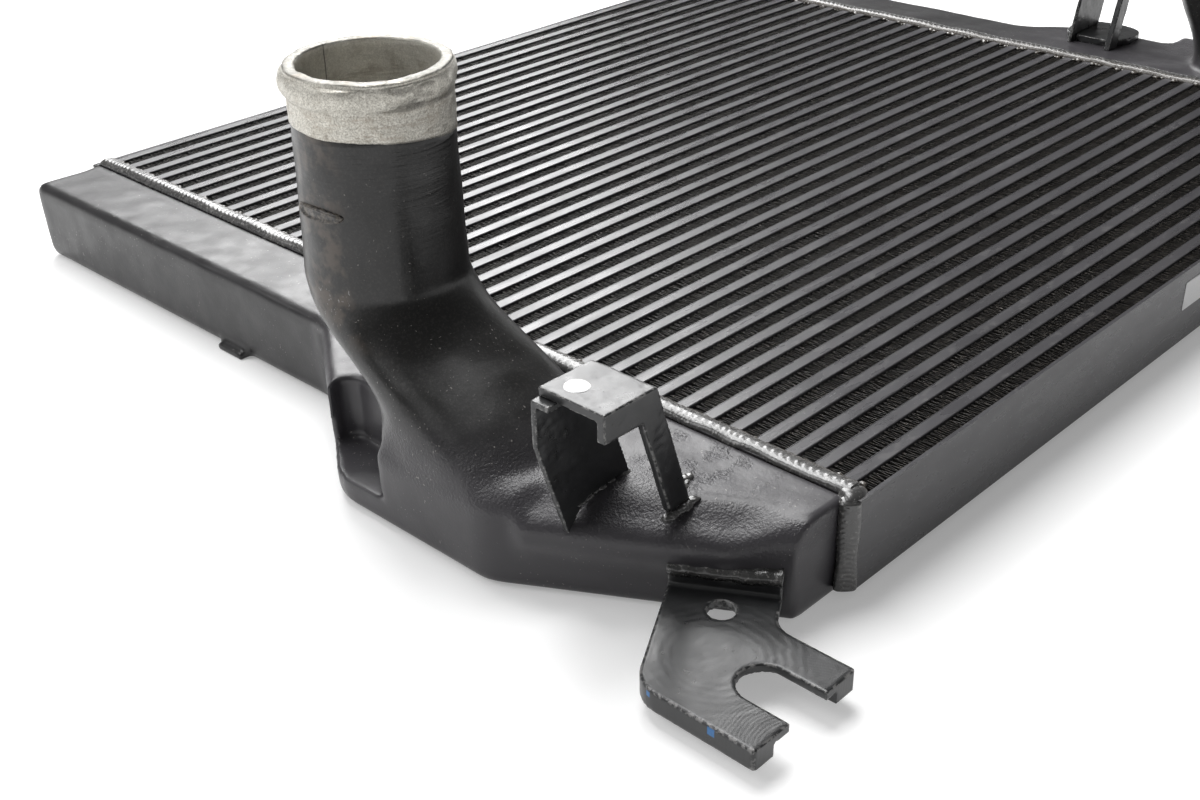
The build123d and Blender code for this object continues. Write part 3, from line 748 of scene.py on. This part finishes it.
def core_weld(side):
    """All beads, corner lumps and spatter along the joint of the core and one tank."""
    sign = -1 if side == "near" else 1
    seed = 21 if side == "near" else 31
    rng = np.random.default_rng(seed)
    slope = math.sqrt(0.5)
    all_points, all_faces = [], []

    def join(points, faces):
        base = sum(len(p) for p in all_points)
        all_points.append(points)
        all_faces.extend(tuple(base + i for i in face) for face in faces)

    points, faces = rippled(2 * HALF_Y - 0.010, 0.0108, 0.0031, seed, period=0.0040, crescent=1.5, depth=0.10)
    join(placed(points, (sign * (WELD_X - 0.0055), -HALF_Y + 0.007, FRONT), (1, 0, 0), (0, 1, 0), (0, 0, 1)), faces)
    # the bead runs out over the corner in a smooth lump
    join(*lump((sign * (WELD_X - 0.0035), -HALF_Y + 0.0065, FRONT - 0.0008), (0.0068, 0.0060, 0.0034), seed + 7, 24))
    join(*lump((sign * (WELD_X + 0.0012), -HALF_Y + 0.0050, FRONT - 0.0050), (0.0055, 0.0048, 0.0052), seed + 8, 24))
    # beads down both ends of the joint
    length = FRONT - CORE_BACK - 0.0010
    points, faces = rippled(length, 0.0095, 0.0019, seed + 3, floor=-0.004, depth=0.16)
    join(placed(points, (sign * (WELD_X + 0.0032), -HALF_Y + 0.0028, CORE_BACK + 0.0005), (slope, slope * sign, 0),
                (0, 0, 1), (slope * sign, -slope, 0)), faces)
    points, faces = rippled(length, 0.0070, 0.0018, seed + 4, floor=-0.003)
    join(placed(points, (sign * WELD_X, HALF_Y - 0.0002, CORE_BACK + 0.0005), (1, 0, 0), (0, 0, 1), (0, 1, 0)), faces)
    # bead in the step behind the joint
    points, faces = rippled(0.5864, 0.0056, 0.0011, seed + 5, floor=-0.0015)
    join(placed(points, (sign * (WELD_X - 0.0020), -0.2932, CORE_BACK - 0.0020), (slope, 0, -slope * sign), (0, 1, 0),
                (-slope * sign, 0, -slope)), faces)
    # spatter over the ends of the air gaps
    for row in range(ROWS):
        middle = -HALF_Y + SIDE_PLATE + FIN_HEIGHT / 2 + row * PITCH
        for _ in range(3):
            place = (sign * (WELD_X - rng.uniform(0.0098, 0.0125)), middle + rng.uniform(-0.0042, 0.0042),
                     FRONT - rng.uniform(0.0004, 0.0016))
            size = rng.uniform(0.0010, 0.0026)
            join(*lump(place, (size * 0.9, size, size * 0.6), seed + 10 + row, 8))
    points = np.clip(np.concatenate(all_points), *cad_box)
    mesh = mesh_from(side + "_weld_beads", points, all_faces)
    work = bmesh.new()
    work.from_mesh(mesh)
    bmesh.ops.recalc_face_normals(work, faces=work.faces)
    work.to_mesh(mesh)
    work.free()
    return make_piece(side + "_weld_beads", mesh, WELD, [side + "_core_weld"])


def fork_bead():
    """Smooth lumpy fillet weld along the fork's flange."""
    along = Vector((-math.sin(SLANT), math.cos(SLANT), 0))
    out = Vector((-math.cos(SLANT), -math.sin(SLANT), 0))
    up = (out * 0.62 + Vector((0, 0, 1))).normalized()
    across = along.cross(up)
    points, faces = rippled(0.0492, 0.0084, 0.0022, 41, period=0.0110, floor=-0.0035, depth=0.12)
    uneven = waves(points, 0.007, 43)[:, None] * (points[:, 2:3] > 0)
    points = points + uneven * np.array([0, 0, 0.00035])
    origin = Vector((-0.34837, -0.29455, 0.025)) + out * 0.0018 + Vector((0, 0, 0.0018))
    moved = placed(points, tuple(origin), tuple(across), tuple(along), tuple(up))
    mesh = mesh_from("fork_weld_bead", moved, faces)
    return make_piece("fork_weld_bead", mesh, WELD, ["fork_weld"])


# ------------------------------------------------------------------ brackets
def bracket(name, sources, voxel, rounds, seed, relief=0.00012):
    """Steel plate with softened edges and slightly uneven faces."""
    mesh = remeshed(name, sources, voxel * (1))
    points = relax(mesh, coords(mesh), 1.0, rounds)
    set_coords(mesh, points)
    uneven = waves(points, 0.014, seed) * relief + waves(points, 0.005, seed + 1) * relief * 0.4
    points = points + normals(mesh) * uneven[:, None]
    box = [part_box(source) for source in sources]
    low = np.min([tuple(b[0]) for b in box], axis=0)
    high = np.max([tuple(b[1]) for b in box], axis=0)
    set_coords(mesh, np.clip(points, low, high))
    return make_piece(name, mesh, BRACKET, sources)


def daub(name, centre, normal, radius, thickness, material):
    """Thin daub of paint with a soft uneven edge, lying on a surface with this normal."""
    up = Vector(normal).normalized()
    one = up.orthogonal().normalized()
    two = up.cross(one)
    rings, points = [], []
    count = 48
    for reach, level in ((1.0, 0), (1.0, 0.6), (0.93, 1.0), (0.5, 1.05)):
        rings.append(list(range(len(points), len(points) + count)))
        for i in range(count):
            turn = 2 * math.pi * i / count
            uneven = radius * reach * (1 + 0.025 * math.sin(3 * turn + 1) + 0.015 * math.sin(7 * turn))
            offset = one * (uneven * math.cos(turn)) + two * (uneven * math.sin(turn)) + up * (thickness * level)
            points.append(tuple(Vector(centre) + offset))
    mesh = mesh_from(name, points, tube_rings(rings))
    return make_piece(name, mesh, material)


def label():
    """Small blank white label on the low-Y side plate."""
    rings, points = [], []
    outline = rounded_section(0.032, -0.0085, 0.0085, 0.0012, 4)
    for depth in (0.0, -0.00025):
        rings.append(list(range(len(points), len(points) + len(outline))))
        points.extend((0.012 + x, -HALF_Y + 0.00001 + depth, 0.0335 + z) for x, z in outline)
    mesh = mesh_from("blank_label", points, tube_rings(rings), smooth=False)
    return make_piece("blank_label", mesh, blank_white("label_paper", 0.75))


def gate_mark():
    """Oval mark left on the barrel by the mould: a low rim round a shallow hollow."""
    axis_x, axis_y = NECKS["near"]
    rings, points = [], []
    count, middle_turn, middle_z = 72, math.radians(-178), 0.1470
    profile = ((1.12, -0.0006), (1.0, 0.0007), (0.88, 0.0014), (0.76, 0.0011), (0.66, 0.0004), (0.40, 0.0004),
               (0.10, 0.0007))
    barrel = NECK_RADIUS + 0.0008
    for reach, proud in profile:
        rings.append(list(range(len(points), len(points) + count)))
        for i in range(count):
            turn = 2 * math.pi * i / count
            cos, sin = math.cos(turn), math.sin(turn)
            wobble = reach * (1 + 0.05 * math.sin(2 * turn + 1.0) + 0.03 * math.sin(5 * turn))
            angle = middle_turn + wobble * 0.36 * math.copysign(abs(cos) ** 0.7, cos)
            z = middle_z + wobble * 0.0030 * math.copysign(abs(sin) ** 0.8, sin)
            reached = barrel + proud
            points.append((axis_x + reached * math.cos(angle), axis_y + reached * math.sin(angle), z))
    mesh = mesh_from("gate_mark", points, tube_rings(rings))
    return make_piece("gate_mark", mesh, rubbed_paint())


def hat_foot_welds(name, feet):
    """Lumps of weld round the feet of a hat bracket."""
    rng = np.random.default_rng(71)
    all_points, all_faces, total = [], [], 0
    for start, end, number, size in feet:
        for share in np.linspace(0, 1, number):
            place = [a + (b - a) * share for a, b in zip(start, end)]
            place = [place[0] + rng.normal(0, 0.0007), place[1] + rng.normal(0, 0.0006), place[2]]
            place = np.array(place) + (0, 0, 0.5 * shoulder(np.array([place]))[0, 2])
            grown = size * rng.uniform(0.75, 1.3)
            points, faces = lump(place, (grown * 1.3, grown, grown * 0.62), int(rng.integers(1000)), 16)
            all_points.append(points)
            all_faces += [tuple(total + i for i in face) for face in faces]
            total += len(points)
    mesh = mesh_from(name, np.concatenate(all_points), all_faces)
    return make_piece(name, mesh, WELD)


# ------------------------------------------------------------------ stage, lights, camera
def stage_look(name, dim, bright, near_reach, far_reach):
    """White stage material: lit by the lamps near the object, plain white to the eye further off."""
    material = bpy.data.materials.new(name)
    material.use_nodes = True
    tree = material.node_tree
    shader = tree.nodes["Principled BSDF"]
    shader.inputs["Base Color"].default_value = grey(0.74)
    shader.inputs["Roughness"].default_value = 0.9
    shader.inputs["Specular IOR Level"].default_value = 0.0
    shader.inputs["Emission Color"].default_value = grey(1.0)
    place = tree.nodes.new("ShaderNodeTexCoord").outputs["Object"]
    length = tree.nodes.new("ShaderNodeVectorMath")
    length.operation = "LENGTH"
    tree.links.new(place, length.inputs[0])
    span = tree.nodes.new("ShaderNodeMapRange")
    span.interpolation_type = "SMOOTHSTEP"
    tree.links.new(length.outputs["Value"], span.inputs[0])
    for number, value in zip(range(1, 5), (near_reach, far_reach, dim, bright)):
        span.inputs[number].default_value = value
    path = tree.nodes.new("ShaderNodeLightPath")
    seen = path.outputs["Is Camera Ray"]
    for other in ("Is Glossy Ray", "Is Transmission Ray"):
        larger = tree.nodes.new("ShaderNodeMath")
        larger.operation = "MAXIMUM"
        tree.links.new(seen, larger.inputs[0])
        tree.links.new(path.outputs[other], larger.inputs[1])
        seen = larger.outputs[0]
    strength = tree.nodes.new("ShaderNodeMath")
    strength.operation = "MULTIPLY"
    tree.links.new(seen, strength.inputs[0])
    tree.links.new(span.outputs[0], strength.inputs[1])
    tree.links.new(strength.outputs[0], shader.inputs["Emission Strength"])
    return material


def stage():
    """Floor, backdrop and world."""
    mesh = mesh_from("floor", [(-20, -20, 0), (20, -20, 0), (20, 20, 0), (-20, 20, 0)], [(0, 1, 2, 3)])
    floor = bpy.data.objects.new("floor", mesh)
    scene.collection.objects.link(floor)
    floor.location.z = -0.0002
    mesh.materials.append(stage_look("floor_white", 0.26, 0.94, 0.36, 1.0))
    count = 64
    turns = [2 * math.pi * i / count for i in range(count)]
    ring = [(STAGE_RADIUS * math.cos(turn), STAGE_RADIUS * math.sin(turn)) for turn in turns]
    points = [(x, y, -0.5) for x, y in ring] + [(x, y, 2.5) for x, y in ring]
    faces = [(i, (i + 1) % count, count + (i + 1) % count, count + i) for i in range(count)]
    wall = mesh_from("backdrop", points, faces)
    wall.materials.append(stage_look("backdrop_white", 1.0, 1.0, 0.1, 0.2))
    backdrop = bpy.data.objects.new("backdrop", wall)
    scene.collection.objects.link(backdrop)

    world = bpy.data.worlds.new("studio")
    scene.world = world
    world.use_nodes = True
    back = world.node_tree.nodes["Background"]
    back.inputs["Color"].default_value = grey(1.0)
    back.inputs["Strength"].default_value = 0.17


def softbox(name, direction, distance, width, height, power, roll=0.0):
    """Area light that faces the object's middle; direction is azimuth and elevation in degrees."""
    azimuth, elevation = map(math.radians, direction)
    middle = Vector((-0.05, 0.0, 0.05))
    away = Vector((math.cos(azimuth) * math.cos(elevation), math.sin(azimuth) * math.cos(elevation),
                   math.sin(elevation)))
    data = bpy.data.lights.new(name, "AREA")
    data.shape = "RECTANGLE"
    data.size, data.size_y = width, height
    data.energy = power
    light = bpy.data.objects.new(name, data)
    light.location = middle + away * distance
    turned = away.to_track_quat("Z", "Y") @ Quaternion((0, 0, 1), math.radians(roll))
    light.rotation_euler = turned.to_euler()
    scene.collection.objects.link(light)


def camera():
    """Camera at the place and turn fitted to the photograph."""
    azimuth, elevation, roll = map(math.radians, CAMERA_TURN)
    forward = Vector((math.cos(azimuth) * math.cos(elevation), math.sin(azimuth) * math.cos(elevation),
                      -math.sin(elevation)))
    right = forward.cross(Vector((0, 0, 1))).normalized()
    up = right.cross(forward)
    level = right * math.cos(roll) + up * math.sin(roll)
    upright = up * math.cos(roll) - right * math.sin(roll)
    data = bpy.data.cameras.new("camera")
    data.sensor_width = 36.0
    data.lens = CAMERA_LENS
    data.clip_start, data.clip_end = 0.05, 50.0
    holder = bpy.data.objects.new("camera", data)
    turn = Matrix((level, upright, -forward)).transposed().to_4x4()
    holder.matrix_world = Matrix.Translation(Vector(CAMERA_PLACE)) @ turn
    scene.collection.objects.link(holder)
    scene.camera = holder


def dress(name, material):
    """Gives a CAD node that stays in the scene its material, with flat shading."""
    nodes[name].data.materials.clear()
    nodes[name].data.materials.append(material)
    nodes[name].data.polygons.foreach_set("use_smooth", [False] * len(nodes[name].data.polygons))


camera()
stage()
scene.view_settings.view_transform = "Standard"
softbox("back_softbox", (57, 36), 2.6, 1.40, 1.50, 60, roll=20)
softbox("left_softbox", (146, 42), 2.4, 1.5, 1.2, 20)
softbox("top_softbox", (78, 72), 2.4, 1.5, 1.4, 58)

passages()
fins(1, 0, ROWS // 2)
fins(2, ROWS // 2, ROWS)
for side in ("near", "far"):
    tank(side)
    bare_neck(side)
    core_weld(side)
    dress(side + "_end_bars", BAR)
fork_bead()
for name in ("right_side_plate", "left_side_plate"):
    dress(name, BAR)
dress("turbulators", sheet_metal())
bracket("fork_plate", ["fork_bracket"], 0.00085, 2, 51, 0.00004)
for side in ("near", "far"):
    bracket(side + "_hat_angle", [side + "_hat_plate"], 0.0007, 2, 61)
    bracket(side + "_hat_thin_leg", [side + "_hat_leg"], 0.0008, 1, 63)
bracket("far_mounting_pad", ["far_pad"], 0.0010, 2, 65)
white_daub = blank_white("white_daub", 0.85)
daub("white_dot", (-0.3986, -0.2255, 0.11232), UP, 0.0056, 0.00012, white_daub)
gate_mark()
hat_foot_welds("near_hat_foot_welds", [
    ((-0.3715, -0.2512, 0.0500), (-0.3575, -0.2508, 0.0500), 7, 0.0026),
    ((-0.3590, -0.2490, 0.0500), (-0.3560, -0.2440, 0.0500), 4, 0.0022),
    ((-0.3560, -0.2440, 0.0500), (-0.3470, -0.2390, 0.0502), 4, 0.0020),
    ((-0.3900, -0.2150, 0.0500), (-0.3620, -0.2150, 0.0500), 9, 0.0022),
])
label()
